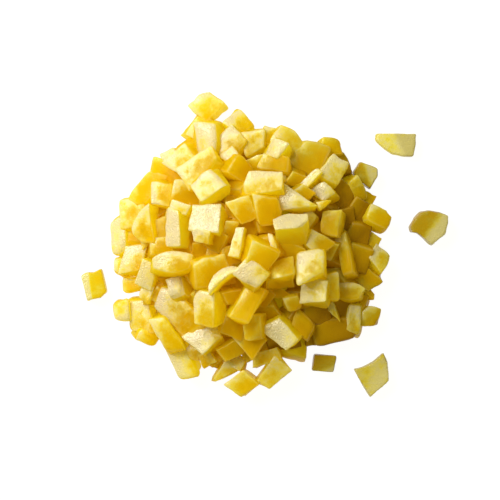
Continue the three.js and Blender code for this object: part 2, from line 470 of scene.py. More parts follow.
# %% [markdown]
# ## Shapes
# Most pieces are plain dice. A wedge thins towards one end, a tip comes nearly to a point, a round
# piece is worn at its edges, a cheek piece has one round side where the peel was, a lens is round
# on two and runs out at both ends, and a curl is a lens that bent as it was cut. Each could be
# modelled on its own, but every die would then repeat it. So the corner shifts are random, up to
# three slips of the knife slice off a corner or an edge, and a shape only adds its habit to that.

# %% Habits of the shapes
ROUND_WEAR = 0.24  # how much further a round piece is worn, as a share of half its side
END_SCALE = {
    # shape: width and thickness at the far end, as shares of the near end's
    "die": (1.0, 1.0),
    "wedge": (0.95, 0.45),
    "tip": (0.15, 0.9),
    "round": (1.0, 1.0),
    "cheek": (0.95, 0.95),
    "lens": (0.9, 0.9),
    "curl": (0.9, 0.9),
}
BULGE = {"cheek": 0.32, "lens": 0.15, "curl": 0.1}
BULGE_THINS = 0.35  # how much of the bulge is gone at the upper and lower face
POINTED = {"lens": 0.4, "curl": 0.35}  # how much of the width is gone at both ends
BENT = {"curl": 0.3}  # how far the middle is pushed sideways, as a share of half the length
print("shapes:", list(END_SCALE))

# %% Wear and ripples
def round_edges(points, worn):
    inner = np.clip(points, -1 + worn, 1 - worn)
    outward = points - inner
    length = np.linalg.norm(outward, axis=1, keepdims=True)
    return inner + outward * worn / length


def ripples(points, waves):
    """How far a few sine waves raise the surface at each point."""
    return sum(wave[4] * np.sin(points @ wave[:3] + wave[3]) for wave in waves)


# %% Bend to a shape
def bend_to_shape(cube, x, y, z, size, shape):
    """Thins, bulges, points and bends the strayed cube, each only if the shape does so."""
    width, thickness = END_SCALE[shape]
    along = (1 + x) / 2
    cube[:, 1] *= 1 + (width - 1) * along
    cube[:, 2] *= 1 + (thickness - 1) * along
    arch = (1 - x ** 2) * (1 - BULGE_THINS * z ** 2)
    cube[:, 1] += BULGE.get(shape, 0) * arch * np.clip(y, 0 if shape == "cheek" else -1, 1)
    cube[:, 1] *= 1 - POINTED.get(shape, 0) * x ** 2
    cube[:, 1] += BENT.get(shape, 0) * size[0] / size[1] * (0.5 - x ** 2)


# %% Cut one die
CORNERS = [(i, j, k) for i in (-1, 1) for j in (-1, 1) for k in (-1, 1)]


def cut(points, size, shape, habit):
    """Takes points of the cube to the die, in millimetres about its middle."""
    x, y, z = round_edges(points, habit["worn"] + (ROUND_WEAR if shape == "round" else 0)).T
    weights = [(1 + i * x) * (1 + j * y) * (1 + k * z) / 8 for i, j, k in CORNERS]
    cube = np.stack([x, y, z], 1) + np.stack(weights, 1) @ habit["shifts"]
    for normal, reach in habit["slips"]:
        beyond = np.maximum(cube @ normal - reach, 0)
        cube -= beyond[:, None] * normal
    x_arch, y_arch, z_arch = 1 - x * x, 1 - y * y, 1 - z * z
    cube *= 1 + habit["bow"] * np.stack([y_arch * z_arch, x_arch * z_arch, x_arch * y_arch], 1)
    bend_to_shape(cube, x, y, z, size, shape)
    sized = cube * np.array(size) / 2
    raised = ripples(sized, habit["waves"])[:, None] * points
    return sized + raised / np.linalg.norm(points, axis=1, keepdims=True)


print("a cube has", len(CORNERS), "corners to move")

# %% The knife's slips
KNIFE_ERROR = 0.17  # how far a corner strays, as a share of the die's own sides
STEADIER_UP = (1, 1, 0.8)  # the thickness of a slice is the steadiest cut
SLOW_WAVES = (0.45, 0.2)  # how fast they change, in radians for each mm, and their height in mm
QUICK_WAVES = (1.3, 0.07)
MOST_SLIPS = 3
SLIP_REACH = (0.68, 0.9)  # how far out the knife slices, as a share of the way to the corner
WEAR = (0.06, 0.2)  # radius of the edges, as a share of half a side
BOW = (-0.01, 0.08)  # how far the middle of a side stands out


def random_waves(rng, change, height):
    """Three waves: a direction and pace each, where they start, and how high they are."""
    return np.column_stack([rng.normal(0, change, (3, 3)), rng.uniform(0, 6.3, 3), np.full(3, height)])


def random_slip(rng):
    """A cut across an edge or a corner, as its direction and its distance from the middle."""
    normal = rng.permutation([1, rng.uniform(0.4, 1), rng.uniform(0, 0.9)]) * rng.choice([-1, 1], 3)
    normal /= np.linalg.norm(normal)
    return normal, np.abs(normal).sum() * rng.uniform(*SLIP_REACH)


def random_habit(rng):
    """What makes one die unlike the next: corner shifts, waves of the surface, wear and bow."""
    shifts = rng.uniform(-1, 1, (8, 3)) * KNIFE_ERROR * np.array(STEADIER_UP) * 2
    waves = np.concatenate([random_waves(rng, *SLOW_WAVES), random_waves(rng, *QUICK_WAVES)])
    slips = [random_slip(rng) for _ in range(rng.integers(0, MOST_SLIPS + 1))]
    return {
        "shifts": shifts,
        "waves": waves,
        "slips": slips,
        "worn": rng.uniform(*WEAR),
        "bow": rng.uniform(*BOW),
    }


print("corners stray up to", round(KNIFE_ERROR * DICE, 1), "mm")

# %% [markdown]
# ## Where the dice lie
# The heap is a mound that falls from its peak to a single layer of dice at its edge. All dice
# could be dropped at random, but a heap is known by its outline and by the few dice that catch the
# eye. So these are placed one by one, region by region, each with the way it is turned and the way
# its upper face leans, and the rest fill the heap under and between them.

# %% The mound
PEAK = (-2, 3)
HEAP_RADIUS = 56
EDGE_TOP = 9.5
SLOPE_POWER = 1.1
ROOM_ABOVE = 2.5  # for the dice that stand out of the mound


def mound_top(x, y):
    reach = min(math.hypot(x - PEAK[0], y - PEAK[1]) / HEAP_RADIUS, 1)
    return EDGE_TOP + (HEAP_TOP - ROOM_ABOVE - EDGE_TOP) * (1 - reach ** 2) ** SLOPE_POWER


print("mound:", round(mound_top(*PEAK), 1), "mm at its peak,", EDGE_TOP, "mm at its edge")

# %% A place for each die that shows
PLACED = {}


def place_by_hand(region, rows):
    """A row holds x, y, length, width, turn, the way the upper face leans to, its lean, ripeness,
    how far it stands out of the mound, and the shape unless it is a plain die. A ripeness above 1
    also paints shade on a die that lies in shadow. Lengths are in millimetres and angles in degrees."""
    PLACED[region] = rows
    print(len(rows), "dice in the", region)


# %% North
# Two dice lie further out here than any others, and pale ones climb behind them.
place_by_hand("north", [
    (-20, 62.5, 10.5, 9.5, -42, 140, 12, 0.15, 2),
    (-22.5, 54.8, 12, 10.5, 42, 150, 10, 0.25, 0),
    (-16.5, 47.5, 10, 14, 5, 175, 24, 0.3, 3, "round"),
    (-4, 56.5, 11, 9, -42, 40, 20, 0.2, 0),
    (-7.5, 47.5, 15, 9.5, 50, 135, 10, 0.28, 2),
    (2.5, 46.3, 9, 9.5, 15, 150, 14, 0.3, 1),
    (6, 49, 6, 6, -20, 60, 15, 0.2, 0),
    (-2, 42.8, 5, 4, 10, 150, 10, 0.6, 0),
    (14.5, 48, 13, 8, -42, 60, 12, 0.4, 0, "cheek"),
    (11, 44.3, 8.5, 8.5, 55, 150, 26, 0.05, 4),
    (11.5, 37.5, 11, 6, -8, 120, 12, 0.8, 0),
    (13, 31, 6, 7.5, 5, 190, 15, 0.45, 0, "round"),
    (-27.5, 38.3, 13, 10, 38, 135, 18, 0.1, 3),
    (-36.5, 37, 7, 4, 35, 150, 10, 0.1, 1),
    (-37, 33.5, 15, 7, -18, 140, 15, 0.95, 0, "cheek"),
    (-18.5, 35, 14, 9, 36, 150, 14, 0.8, 0),
    (-3.5, 34.5, 12, 10, -35, 320, 22, 0.95, 0),
    (-7.5, 39, 6, 4, 35, 150, 15, 0.15, 1),
    (3, 38.5, 9, 8, 20, 150, 5, 0.8, -4),
    (-17, 26, 13, 10.5, 38, 165, 20, -0.1, 3),
    (-18, 19.3, 4.5, 5, 0, 150, 15, 0, 3, "round"),
])

# %% North east
# Broad cheek pieces of ripe flesh lie here, and small dice step down to the rim.
place_by_hand("north east", [
    (24, 38, 17, 14, -12, 110, 12, 0.9, -1, "cheek"),
    (36.5, 45.3, 11, 5.5, -8, 60, 20, 1.1, -1, "cheek"),
    (40.5, 39.5, 9, 6, -65, 30, 35, 1.3, -1, "cheek"),
    (35.2, 33.8, 11.5, 9.5, 54, 60, 18, 0.15, 4),
    (26, 30.3, 9, 3, 45, 150, 20, 0, 2),
    (29.5, 22.5, 8, 7, -50, 150, 15, 0.15, 1, "round"),
    (23, 24, 7, 6, -40, 330, 10, 0.75, -1),
    (19, 20.3, 17, 11, -17, 150, 14, 0.15, 3, "tip"),
    (4.5, 27, 15, 9, 0, 110, 16, 0.35, 2),
    (8, 17.5, 11, 11, -5, 330, 12, 1.1, 0),
    (19.5, 30.5, 7, 7, -20, 320, 15, 1.2, -2),
    (41, 22, 13, 12, -30, 330, 18, 1.35, -1),
    (47.5, 16.5, 12, 10, -30, 330, 15, 1.35, -4),
    (47.5, 24, 10, 5, -65, 330, 25, 0.3, 0, "cheek"),
    (53, 21.5, 6, 4, -20, 30, 25, 0.5, -1),
    (54.5, 15, 10.5, 7.5, -27, 50, 28, 0.7, 1),
    (49, 8, 12, 11, -20, 300, 20, 1.45, -3),
    (54, 5, 8, 7, -30, 20, 20, 0.6, -1),
    (43, 12, 10, 10, 10, 300, 20, 1.45, -4),
    (35.5, 11, 8, 9.5, -3, 170, 8, 0.8, 0),
    (26.5, 14.5, 6, 7, -30, 150, 10, 0.5, 0),
    (29.5, 17.5, 7, 4, 20, 150, 10, 0.6, 1, "tip"),
])

# %% East
# On the side away from the lamp most faces are amber, and a few slim ones catch the light.
place_by_hand("east", [
    (16.5, 10.5, 13, 8, 3, 115, 30, 0.12, 3),
    (11, 3, 3, 9, 20, 170, 20, 0.3, 3),
    (29, 3.5, 10, 8, -35, 350, 15, 0.3, 1),
    (25.5, -6.3, 14, 12, 15, 150, 14, 0.42, 4, "round"),
    (26.3, -17.3, 10, 10, -5, 150, 18, 0.35, 3),
    (33.8, -14.5, 5.5, 12.5, -4, 30, 15, 0.7, 2, "round"),
    (38, -1, 5, 8, -25, 170, 10, 0.5, 0),
    (44, -3.5, 20, 5.5, -76, 150, 8, 0.75, 0),
    (50, -6, 8, 12, -10, 300, 20, 1.2, -2),
    (57.5, -4, 9, 8, -35, 30, 25, 0.55, -1),
    (52.5, -12.5, 9, 9, -40, 330, 15, 1.1, -1),
    (43, -17, 13, 7, -8, 130, 12, 0.1, 2, "lens"),
    (47.5, -22, 7, 7, -20, 150, 10, 0.55, 0),
    (43.8, -28, 6.5, 12.5, -6, 170, 12, 0.2, 2, "round"),
    (36.5, -26.5, 8, 4, -52, 150, 10, 0.4, 1, "tip"),
    (49.5, -20.5, 8, 2.5, -55, 30, 15, 0.35, 0),
    (51.5, -28.5, 7, 7, -5, 330, 20, 0.9, -1),
    (41.5, -23.5, 11, 10, -5, 330, 15, 1.2, -4),
    (37.5, -37, 16, 12, 8, 280, 22, 1.5, -1, "round"),
    (29.5, -28, 13, 10, -10, 300, 20, 1.5, -4),
    (28, -38.5, 6, 9, 0, 300, 12, 1.2, -1),
])

# %% Middle
# The dice of the peak overlap the most, so that some show only as a strip.
place_by_hand("middle", [
    (-18.5, 12.8, 12, 11.5, -12, 135, 22, 0, 4),
    (-9.5, -4, 10, 8, 20, 320, 15, 0.95, -4),
    (17, 1, 9, 9, -20, 300, 20, 0.9, -3),
    (-19.5, 4.5, 8, 5, -12, 180, 12, 0.3, 0),
    (-5.8, 3.5, 3.5, 11, -12, 150, 15, 0.15, 1),
    (-10.5, 8, 5, 10, -10, 320, 10, 0.9, -2),
    (-3, 18.5, 10, 9.5, 25, 330, 8, 0.55, 1),
    (-11.5, 18.5, 7, 5, -35, 320, 12, 0.8, -1),
    (4.5, -0.5, 12, 10.5, -22, 285, 22, 1.1, 3),
    (1, -10.5, 11, 10, -45, 150, 10, 0.28, 1),
    (12, -8.8, 13.5, 7.5, 14, 105, 28, 0.8, 2),
    (14.5, -18.8, 9, 7, -20, 330, 10, 0.5, 0, "tip"),
    (18.5, -23.5, 6, 6, 10, 330, 12, 0.6, -1),
    (-16.5, -9.5, 13.5, 13, 10, 300, 10, 0.95, -4),
    (-17.5, -1, 5, 7, -10, 200, 15, 0.35, 1, "tip"),
    (-22, 1, 8, 9, 0, 180, 8, 0.85, -3),
    (-11.5, -13.2, 14, 4, 38, 130, 20, 0.1, 1, "curl"),
    (-7, -14.5, 8, 6, 30, 320, 12, 0.9, -1),
    (-8, -19, 8, 6, 10, 320, 15, 1.2, -4),
    (-1.3, -21, 14.5, 9.5, 58, 130, 8, 0.5, 2),
    (-19.5, -23.5, 10.5, 11.5, -3, 172, 24, 0.25, 4),
])

# %% West
# On the side of the lamp dice stand upright, with their pale end faces turned to it.
place_by_hand("west", [
    (-38.5, 26, 9.5, 12.5, -2, 170, 14, 0.08, 3),
    (-28.5, 25.3, 12, 11, -8, 320, 8, 1.05, 0),
    (-43.5, 28.8, 16, 8, 52, 140, 22, 0.85, 0, "cheek"),
    (-34, 9.7, 8.5, 16, 3, 172, 24, 0, 3),
    (-30, 18, 9, 5, -12, 150, 15, 0.1, 1),
    (-52, 19, 11, 12, 15, 150, 22, 0.4, 0, "round"),
    (-51.5, 12.5, 5, 3.5, -25, 200, 15, 0.2, 1),
    (-60, 6.5, 7, 16, 5, 175, 28, 0.1, 0, "round"),
    (-52, 4, 10, 6, -25, 160, 12, 0.75, 0),
    (-44.5, 12, 13, 7.5, 98, 180, 20, 0.3, 2, "curl"),
    (-44.5, 3.8, 8, 5, 25, 150, 15, 0.25, 1, "tip"),
    (-39, 0.5, 12, 8, 0, 160, 10, 0.85, -2),
    (-51.7, -5, 8, 11.5, -13, 168, 14, 0.05, 3),
    (-57.7, -7.5, 6, 8, -20, 180, 15, 0.25, 0),
    (-52.5, -15.5, 9.5, 7, -2, 190, 14, 0.45, 0, "round"),
    (-42.8, -10, 9, 11.5, -22, 165, 16, 0.08, 2),
    (-45, -16.8, 5, 6.5, -28, 160, 10, 0.25, 1),
    (-41, -18.5, 6, 5, 60, 150, 10, 0.8, -1),
    (-33, -5.7, 19, 7.5, 5, 110, 12, 0.5, 2, "lens"),
    (-32.3, -15, 7.5, 10, 22, 165, 28, 0.3, 2),
    (-36, -13, 6, 7, 20, 330, 12, 0.95, -2),
])

# %% South west
# Large pieces lie aslant here, and one thins to a wedge.
place_by_hand("south west", [
    (-32.5, -28.3, 20, 10.5, -52, 165, 16, 0.1, 3, "wedge"),
    (-24.5, -34.5, 8, 9, -40, 320, 10, 0.9, -2),
    (-35, -36, 16, 7.5, -55, 320, 6, 0.6, 1, "round"),
    (-42.5, -30, 4, 8, -15, 170, 10, 0.05, 0),
    (-58, -27, 7, 10, 6, 180, 10, 0.3, 0, "round"),
    (-50, -29.5, 11, 16, 5, 178, 20, 0.2, 2, "round"),
    (-46.5, -39, 11, 6.5, -15, 260, 15, 0.55, 0, "round"),
    (-31, -44.5, 25, 8, -57, 205, 18, -0.25, 1),
])

# %% South
# The rim is a single layer here, and some of its dice turn a corner outwards.
place_by_hand("south", [
    (-18.5, -40, 13, 11, 32, 150, 14, 0.05, 2),
    (-25.5, -45.5, 7, 8, -25, 200, 15, 0.3, 1),
    (-9, -43, 11, 8, 25, 320, 12, 1.1, -1),
    (-9, -47.5, 9, 5, -35, 160, 12, 0.2, 1),
    (-12.8, -52.8, 12, 9, -139, 250, 10, 0.4, 0, "tip"),
    (-17.5, -48, 7, 6, 30, 250, 15, 0.6, -1),
    (-4.5, -59.5, 9.5, 9.5, -47, 200, 12, 0.8, 0),
    (10, -56, 14, 9, 52, 320, 8, 0.5, -1),
    (6, -45.5, 11, 6, 15, 150, 10, 0.55, 1),
    (-1, -38.5, 10, 9, -40, 320, 5, 0.65, 0),
    (3, -32.5, 8, 11, 0, 180, 15, 0.45, 3),
    (10.7, -36, 12, 9.5, -45, 210, 18, -0.2, 4),
    (-7, -31, 9, 8, -20, 320, 10, 1.0, -3),
    (14, -39, 12, 10, 15, 300, 20, 1.5, -2),
    (22.5, -33, 10, 8, -40, 150, 8, 1.15, 0, "round"),
])

# %% [markdown]
# ## How dusky a die is
# In a real heap light is used up on its way through the dice, from the lit side in the west to the
# far side in the east. A render with many bounces would show that, but one with few doesn't. So the
# flesh itself is painted duskier and more gold with the distance from the bright side: painted shade.

# %% Dusk
BRIGHT_PLACE = (-35, 5)
DUSK_STARTS = 38
DUSK_LENGTH = 120  # from where dusk starts to where it would be complete
DUSKIEST = 0.45
# Painted shade: dusk also makes the flesh more gold.
DUSK_PAINTS_GOLD = 0.5
DUSK_VARIES = (0.7, 1.3)
SHADE_BEYOND_RIPE = 0.8


def dusk_at(middle):
    away = math.hypot(middle[0] - BRIGHT_PLACE[0], middle[1] - BRIGHT_PLACE[1])
    return min(max((away - DUSK_STARTS) / DUSK_LENGTH, 0), DUSKIEST)


def dusk_of(dusk, ripeness):
    """Painted shade is deeper on ripe dice than on pale ones at the same place, and no two are alike.
    """
    # Painted shade: a ripeness above 1 in a row adds dusk.
    shade_beyond_ripe = max(ripeness - 1, 0)
    return dusk * (0.3 + 0.9 * ripeness) * rng.uniform(*DUSK_VARIES) + shade_beyond_ripe * SHADE_BEYOND_RIPE


print("dusk at the east edge:", round(dusk_at((PEAK[0] + HEAP_RADIUS, PEAK[1])), 2))

# %% [markdown]
# ## From a row to a die
# A die could be made as a mesh at once, but it has yet to settle, and a much coarser mesh will do
# for that. So until then it is kept as what is known of it.

# %% What is known of a die
def die(shape, size, middle, turn, ripeness, placed=True):
    dusk = dusk_at(middle)
    return {
        "placed": placed,
        "shape": shape,
        "size": size,
        "middle": Vector(middle),
        "turn": turn,
        # Painted shade: duskier dice are painted more gold.
        "ripeness": ripeness + DUSK_PAINTS_GOLD * dusk,
        "dusk": dusk_of(dusk, ripeness),
        "habit": random_habit(rng),
    }


# %% Dice placed one by one
THICKNESS = (0.95, 1.15)
HIDDEN_SHARE = 1.06  # a die is wider than what its neighbours leave to be seen
SPREAD_SHARE = 0.975  # settling spreads the heap by the rest


def placed_die(x, y, length, width, turn, lean_to, lean, ripeness, lift, shape="die"):
    x, y = x * SPREAD_SHARE, y * SPREAD_SHARE
    length, width = length * HIDDEN_SHARE, width * HIDDEN_SHARE
    thickness = min(DICE, max(length, width)) * rng.uniform(*THICKNESS)
    leaning = Vector((0, 0, 1)).rotation_difference(towards(lean_to, 90 - lean))
    rotation = leaning @ Euler((0, 0, math.radians(turn))).to_quaternion()
    top = Vector((x, y, mound_top(x, y) + lift))
    middle = top - leaning @ Vector((0, 0, thickness / 2))
    return die(shape, (length, width, thickness), middle, rotation, ripeness)


dice = [placed_die(*row) for rows in PLACED.values() for row in rows]
print("dice placed by hand:", len(dice))

# %% [markdown]
# ## Fill the heap
# Under the dice that show lies a second layer, each die turned every which way. A grid would space
# them evenly, but its rows would show through the gaps, so they lie on a spiral, as the seeds of a
# sunflower do.

# %% Dice under them
FILL_COUNT = 50
FILL_DEPTH = 14  # middles of the second layer, below the mound's top
FILL_RADIUS = 46
FILL_SMALLEST = (0.8, 0.8, 0.75)
FILL_LARGEST = (1.2, 1.1, 1.0)
FILL_RIPENESS = (0.3, 1.0)
GOLDEN_ANGLE = math.pi * (3 - math.sqrt(5))


def fill_die(index):
    radius = FILL_RADIUS * math.sqrt((index + 0.5) / FILL_COUNT)
    angle = index * GOLDEN_ANGLE
    x = PEAK[0] * 0.5 + radius * math.cos(angle)
    y = PEAK[1] * 0.5 + radius * math.sin(angle)
    size = DICE * rng.uniform(FILL_SMALLEST, FILL_LARGEST)
    z = max(mound_top(x, y) - FILL_DEPTH, size[2] / 2)
    turn = Euler(rng.uniform(0, 6.3, 3)).to_quaternion()
    return die("die", size, (x, y, z), turn, rng.uniform(*FILL_RIPENESS), placed=False)


dice += [fill_die(index) for index in range(FILL_COUNT)]
print("dice in the heap:", len(dice))

# %% [markdown]
# ## The mound inside
# Deep in the heap no die can be told from the next, and a mesh of each would never be seen. One
# mound of flesh takes their place, painted deep gold and dusky as the shade in the gaps. It is
# first needed as what the dice come to rest on.

# %% Surface of the mound
CORE_DEPTH = 18  # below the tops of the dice
CORE_RADIUS = 42


def mound_surface(rings=9, sectors=36):
    """A low mound deep under the tops of the dice, closed by a flat disc."""
    points = [(0, 0, max(mound_top(0, 0) - CORE_DEPTH, 1))]
    for ring in range(1, rings + 1):
        for sector in range(sectors):
            angle = 2 * math.pi * sector / sectors
            x = CORE_RADIUS * ring / rings * math.cos(angle)
            y = CORE_RADIUS * ring / rings * math.sin(angle)
            points.append((x, y, max(mound_top(x, y) - CORE_DEPTH, 1) if ring < rings else 0))
    faces = [(0, 1 + s, 1 + (s + 1) % sectors) for s in range(sectors)]
    for ring in range(rings - 1):
        inner, outer = 1 + ring * sectors, 1 + (ring + 1) * sectors
        for s in range(sectors):
            step = (s + 1) % sectors
            faces.append((inner + s, outer + s, outer + step, inner + step))
    last = 1 + (rings - 1) * sectors
    faces.append([last + s for s in reversed(range(sectors))])
    return np.array(points, float), faces


print("mound inside:", len(mound_surface()[1]), "faces")

# %% [markdown]
# ## Let them settle
# The dice placed one by one overlap a little or hang over a gap, and moving each until none does
# would take days. A short rigid body simulation, slowed down until they can only creep, pushes them
# apart and lets each come to rest on those below. Bullet works best on things about a metre long, so
# they are a hundred times too big meanwhile.

# %% The settling world
BIG = 100 * MM
SETTLE_FRAMES = 30
SUBSTEPS = 12
SOLVER_STEPS = 30


def new_settling_world():
    """Starts the physics, and returns the collection that its bodies go in."""
    scene = bpy.context.scene
    bpy.ops.rigidbody.world_add()
    group = bpy.data.collections.new("settling")
    scene.collection.children.link(group)
    physics = scene.rigidbody_world
    physics.collection = group
    physics.use_split_impulse = True
    physics.substeps_per_frame = SUBSTEPS
    physics.solver_iterations = SOLVER_STEPS
    physics.point_cache.frame_end = SETTLE_FRAMES
    return group


def clear(group):
    """Ends the physics and deletes its bodies."""
    bpy.ops.rigidbody.world_remove()
    for body in list(group.objects):
        mesh = body.data
        bpy.data.objects.remove(body)
        bpy.data.meshes.remove(mesh)
    bpy.data.collections.remove(group)
    bpy.context.scene.frame_set(1)


# %% Bodies in it
DAMPING = 0.9999
FRICTION = 0.9
MARGIN = 0.01
PRESSED = 0.7  # soft dice press into each other: their rigid hulls are this much smaller


def rigid(group, name, points, faces, kind, shape):
    mesh = bpy.data.meshes.new(name)
    mesh.from_pydata(points, [], faces)
    body = bpy.data.objects.new(name, mesh)
    group.objects.link(body)
    body.rigid_body.type = kind
    body.rigid_body.collision_shape = shape
    body.rigid_body.friction = FRICTION
    body.rigid_body.use_margin = True
    body.rigid_body.collision_margin = MARGIN
    return body


def rigid_die(group, name, one, kind):
    points = cut(COARSE[0], one["size"], one["shape"], one["habit"])
    body = rigid(group, name, points * BIG * PRESSED, COARSE[1].tolist(), kind, "CONVEX_HULL")
    body.rigid_body.linear_damping = DAMPING
    body.rigid_body.angular_damping = 1 if one["placed"] else DAMPING
    body.location = one["middle"] * BIG
    body.rotation_mode = "QUATERNION"
    body.rotation_quaternion = one["turn"]
    return body


# %% Settle
PLATE_SCALE = 10  # times the size of the board, which is wide enough for the big heap


def settle(dice, held=0):
    """Lets the dice come to rest, all but the first few, which are held where they are."""
    group = new_settling_world()
    plate = [Vector(corner) * PLATE_SCALE for corner in floor_corners]
    rigid(group, "floor_plate", plate, [(0, 1, 2, 3)], "PASSIVE", "MESH")
    core_points, core_faces = mound_surface()
    rigid(group, "core_plate", core_points * BIG, core_faces, "PASSIVE", "MESH")
    bodies = []
    for index, one in enumerate(dice):
        kind = "PASSIVE" if index < held else "ACTIVE"
        bodies.append(rigid_die(group, f"die_{index}", one, kind))
    for number in range(1, SETTLE_FRAMES + 1):
        bpy.context.scene.frame_set(number)
    graph = bpy.context.evaluated_depsgraph_get()
    moved = []
    for one, body in zip(dice, bodies):
        where = body.evaluated_get(graph).matrix_world
        moved.append(where.translation / BIG - one["middle"])
        one["middle"] = where.translation / BIG
        one["turn"] = where.to_quaternion()
    clear(group)
    print("moved", round(float(np.mean([move.length for move in moved])), 2), "mm on average")


settle(dice, held=len(dice) - FILL_COUNT)
settle(dice)
for one in dice:
    shaped = cut(FINE[0], one["size"], one["shape"], one["habit"])
    heights = shaped @ np.array(one["turn"].to_matrix())[2]
    one["middle"].z = max(one["middle"].z, -heights.min())
print("middle of the highest die:", round(max(one["middle"].z for one in dice), 1), "mm up")

# %% [markdown]
# ## Make the pieces
# One object for each die would be easy to make but slow to draw and to export, so all dice of one
# shape become one mesh. Besides its labels, each point keeps where it is in its own die, height
# first, so that the fibres run up every die. Deep in the heap and on the side of each die away from
# the lamp, the flesh is painted more gold and duskier, as painted shade.

# %% Label a settled die
AWAY_FROM_LAMP = -np.array(towards(LAMP_AZIMUTH, 0))
# Painted shade: more gold on the side of a die away from the lamp and deep in the heap.
AWAY_SIDE_PAINTED_GOLD = 0.42
RIPENESS_DRIFT = 0.2
SUNK_PAINTED_GOLD = 0.45
SUNK_IS_DUSKIER = 0.06
DEEPEST = 1.5  # dice down, below which the painted shade, more gold and duskier, gets no deeper
END_STARTS = 0.93  # places on the cube from -1 to 1
RIM_STARTS = 0.84
RIM_WIDTH = 0.11
FILL_END_FACE = 0.3  # the dice under the top layer get too little light for pale faces
FAR_AWAY = 500  # in every direction, so that no two dice share a piece of texture


def die_surface(one):
    """The points of a settled die in metres, and what the flesh material reads at each."""
    points, faces = FINE
    shaped = cut(points, one["size"], one["shape"], one["habit"])
    turned = shaped @ np.array(one["turn"].to_matrix()).T
    reach = np.sort(np.abs(points), axis=1)
    shaded = turned @ AWAY_FROM_LAMP / (np.mean(one["size"][:2]) / 2)
    sunk = (mound_top(*one["middle"].xy) - one["middle"].z - turned[:, 2]) / DICE
    sunk = np.clip(sunk, 0, DEEPEST)
    drift = points @ rng.normal(0, RIPENESS_DRIFT, 3)
    # End faces, partly painted light: painted pale as lit faces. The dice under the top layer get less
    # of it.
    end_face = np.clip((np.abs(points[:, 2]) - END_STARTS) / (1 - END_STARTS), 0, 1)
    return {
        "points": (turned + np.array(one["middle"])) * MM,
        "faces": faces.tolist(),
        "flesh_place": np.roll(shaped, 1, axis=1) + rng.uniform(-FAR_AWAY, FAR_AWAY, 3),
        # Painted shade: more gold away from the lamp and deep in the heap.
        "ripeness": one["ripeness"] + drift + AWAY_SIDE_PAINTED_GOLD * shaded + SUNK_PAINTED_GOLD * sunk,
        "end_face": end_face * (1 if one["placed"] else FILL_END_FACE),
        # Painted highlight along the edges.
        "rim": np.clip((reach[:, 1] - RIM_STARTS) / RIM_WIDTH, 0, 1),
        "peel_side": np.clip(points[:, 1], 0, 1) ** 4 * (one["shape"] in BULGE),
        "dusk": one["dusk"] * (0.7 + 0.3 * shaded + 0.8 * sunk) + SUNK_IS_DUSKIER * sunk,
        "heart": 1 - reach[:, 1],
    }


# %% Join surfaces into one piece
def join_surfaces(name, surfaces):
    """Makes one piece of many surfaces, with the flesh material and its labels."""

    def joined(key):
        return np.concatenate([surface[key] for surface in surfaces])

    mesh = bpy.data.meshes.new(name)
    faces, start = [], 0
    for surface in surfaces:
        faces += [[start + corner for corner in face] for face in surface["faces"]]
        start += len(surface["points"])
    mesh.from_pydata(joined("points"), [], faces)
    places = mesh.attributes.new("flesh_place", "FLOAT_VECTOR", "POINT")
    places.data.foreach_set("vector", joined("flesh_place").ravel())
    for label in LABELS:
        mesh.attributes.new(label, "FLOAT", "POINT").data.foreach_set("value", joined(label))
    mesh.polygons.foreach_set("use_smooth", np.ones(len(mesh.polygons), bool))
    mesh.materials.append(flesh)
    mesh.validate()
    piece = bpy.data.objects.new(name, mesh)
    bpy.context.scene.collection.objects.link(piece)
    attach(piece, "root")
    triangles = sum(len(face) - 2 for face in faces)
    print(name, len(surfaces), "dice,", triangles, "triangles")
    return piece


# %% One piece for each shape
PIECE_NAMES = {
    "die": "square_cut_dice",
    "wedge": "wedge_pieces",
    "tip": "pointed_pieces",
    "round": "worn_pieces",
    "cheek": "cheek_pieces",
    "lens": "lens_pieces",
    "curl": "curled_pieces",
}
for shape, name in PIECE_NAMES.items():
    chosen = [die_surface(one) for one in dice if one["shape"] == shape]
    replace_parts(join_surfaces(name, chosen), "mango_heap")

# %% [markdown]
# ## The packed inside
# The mound inside is now made as a piece, with lumps, so that no gap between the dice shows the
# board. More dice would close the gaps as well, but at many times the size.

# %% The packed inside
# Painted shade: the mound inside is painted deep gold and dusky, as the shade in the gaps.
CORE_PAINTED_SHADE_GOLD = 1.2
CORE_DUSK = 0.3
CORE_LUMPS = 2.4  # how many times as high as the waves on a die
CORE_RINGS = 30
CORE_SECTORS = 96

points, faces = mound_surface(CORE_RINGS, CORE_SECTORS)
lumps = ripples(points, random_habit(rng)["waves"])
points[:, 2] = np.maximum(points[:, 2] + lumps * CORE_LUMPS, 0)
core_surface = {"points": points * MM, "faces": faces, "flesh_place": points}
for label in LABELS:
    core_surface[label] = np.zeros(len(points))
# Painted shade in the gaps: deep gold.
core_surface["ripeness"] += CORE_PAINTED_SHADE_GOLD
core_surface["dusk"] += CORE_DUSK + np.array([dusk_at(point) for point in points])
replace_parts(join_surfaces("packed_inside", [core_surface]), "mango_heap")

# %% [markdown]
# ## The six dice that lie apart
# Each of these is seen whole, so it is raised from its own outline instead of from a cube: rings of
# points run up its side, over a worn edge and in across the top. An extruded curve would be
# quicker, but its top would be one flat face with no points for the labels. The pale band on a
# stray is flesh from just under the peel, and the gold is the ripe side, nearer the stone.

# %% A worn outline
OUTLINE_STEP = 0.55
ROUNDINGS = 2


def worn_outline(corners):
    """Points at even steps round the corners given, with each corner worn round."""
    corners = np.array(corners, float)
    points = []
    for corner, following in zip(corners, np.roll(corners, -1, axis=0)):
        steps = max(round(np.linalg.norm(following - corner) / OUTLINE_STEP), 1)
        points += [corner + (following - corner) * step / steps for step in range(steps)]
    points = np.array(points)
    for _ in range(ROUNDINGS):
        points = (np.roll(points, 1, axis=0) + 2 * points + np.roll(points, -1, axis=0)) / 4
    return points


